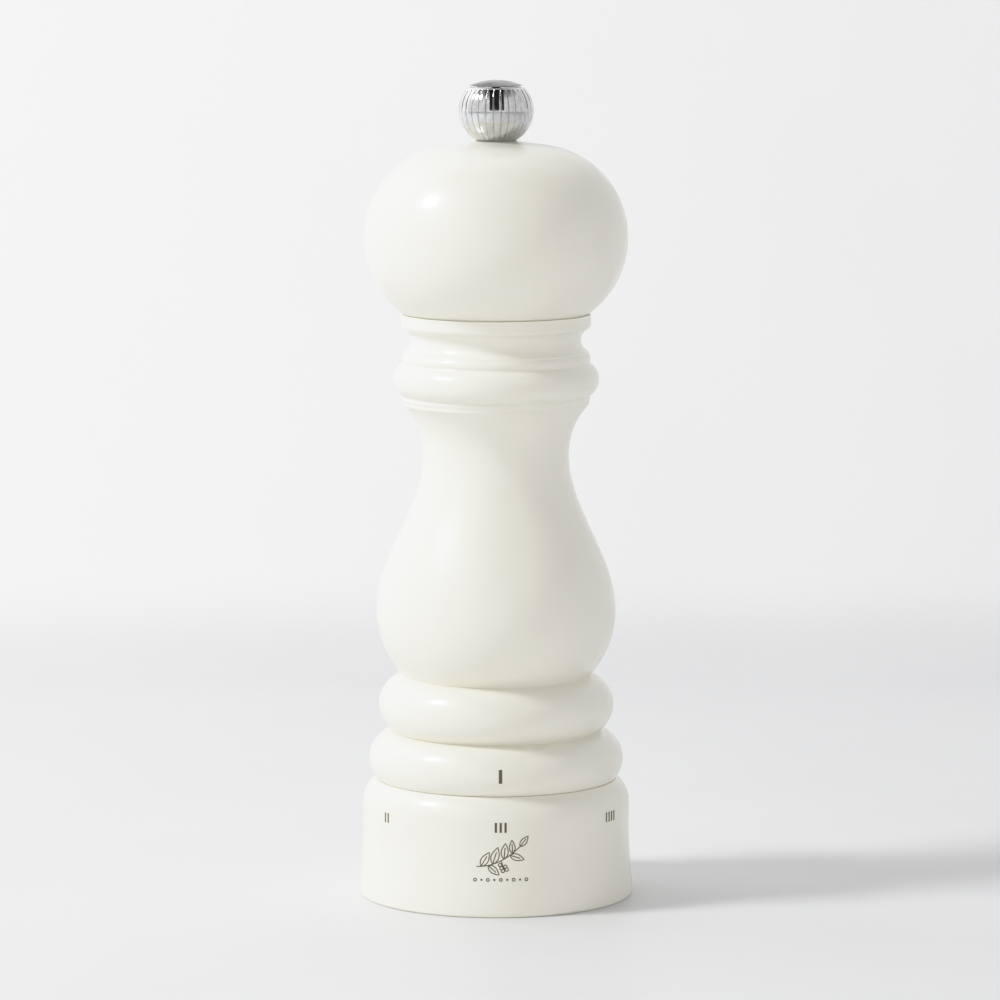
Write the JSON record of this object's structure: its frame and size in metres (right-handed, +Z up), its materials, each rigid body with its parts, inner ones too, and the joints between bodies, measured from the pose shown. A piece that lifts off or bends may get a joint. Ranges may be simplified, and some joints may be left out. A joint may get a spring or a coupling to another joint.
{
  "type": "pepper mill",
  "caption": "Turned wooden pepper mill with a hand-turned head, screw knob, steel grinder and a grind selector ring at its foot.",
  "frame": {"origin": "centre of the base ring's foot, on the table", "axes": "+Z up along the mill's axis; -Y is the front, where the pointer and the middle grind mark are"},
  "size_m": [0.0604, 0.0604, 0.18],
  "materials": {
    "ivory_lacquer": "satin lacquer over turned beech",
    "chrome": "polished",
    "plated_steel": "zinc plated",
    "grinder_steel": "hardened and oiled",
    "spring_steel": "plain drawn",
    "black_nylon": "moulded, satin",
    "brass": "turned",
    "print_ink": "dark olive print"
  },
  "bodies": {
    "mill_body": {"body": "ivory_lacquer", "mechanism_housing": "black_nylon", "housing_screws": "plated_steel", "bridge": "plated_steel", "bridge_screws": "plated_steel", "bridge_bush": "brass", "retaining_ring": "spring_steel", "click_spring": "spring_steel", "click_spring_rivet": "plated_steel"},
    "drive": {"drive_shaft": "plated_steel", "thrust_washer": "plated_steel", "rotor_spring": "spring_steel", "rotor": "grinder_steel", "rotor_washer": "plated_steel", "rotor_screw": "plated_steel"},
    "head": {"head": "ivory_lacquer", "drive_plate": "plated_steel", "drive_plate_screws": "plated_steel", "head_stud": "plated_steel"},
    "knob_cap": {"knob_cap": "chrome"},
    "knob": {"knob": "chrome"},
    "stator": {"stator": "grinder_steel", "stator_carrier": "black_nylon"},
    "base": {"base_ring": "ivory_lacquer", "adjuster_ring": "black_nylon", "adjuster_screws": "plated_steel"}
  },
  "joints": [
    {"name": "mill_turn", "type": "hinge", "parent": "mill_body", "child": "drive", "pos_m": [0, 0, 0.0468], "axis": [0, 0, 1], "continuous": true},
    {"name": "head_lift", "type": "slide", "parent": "drive", "child": "head", "axis": [0, 0, 1], "range_m": [0, 0.06]},
    {"name": "knob_rise", "type": "slide", "parent": "head", "child": "knob_cap", "axis": [0, 0, 1], "range_m": [0, 0.008]},
    {"name": "knob_turn", "type": "hinge", "parent": "knob_cap", "child": "knob", "pos_m": [0, 0, 0.1667], "axis": [0, 0, 1], "range_deg": [0, 2880]},
    {"name": "grind_select", "type": "hinge", "parent": "mill_body", "child": "base", "pos_m": [0, 0, 0.026], "axis": [0, 0, 1], "range_deg": [-168, 112], "deforming": ["click_spring"]},
    {"name": "stator_lift", "type": "slide", "parent": "mill_body", "child": "stator", "axis": [0, 0, 1], "range_m": [-0.00062, 0.00093]}
  ],
  "couplings": [
    {"joint": "knob_rise", "follows": "knob_turn", "m_per_rad": 0.00015915},
    {"joint": "stator_lift", "follows": "grind_select", "m_per_rad": -0.00031831}
  ]
}
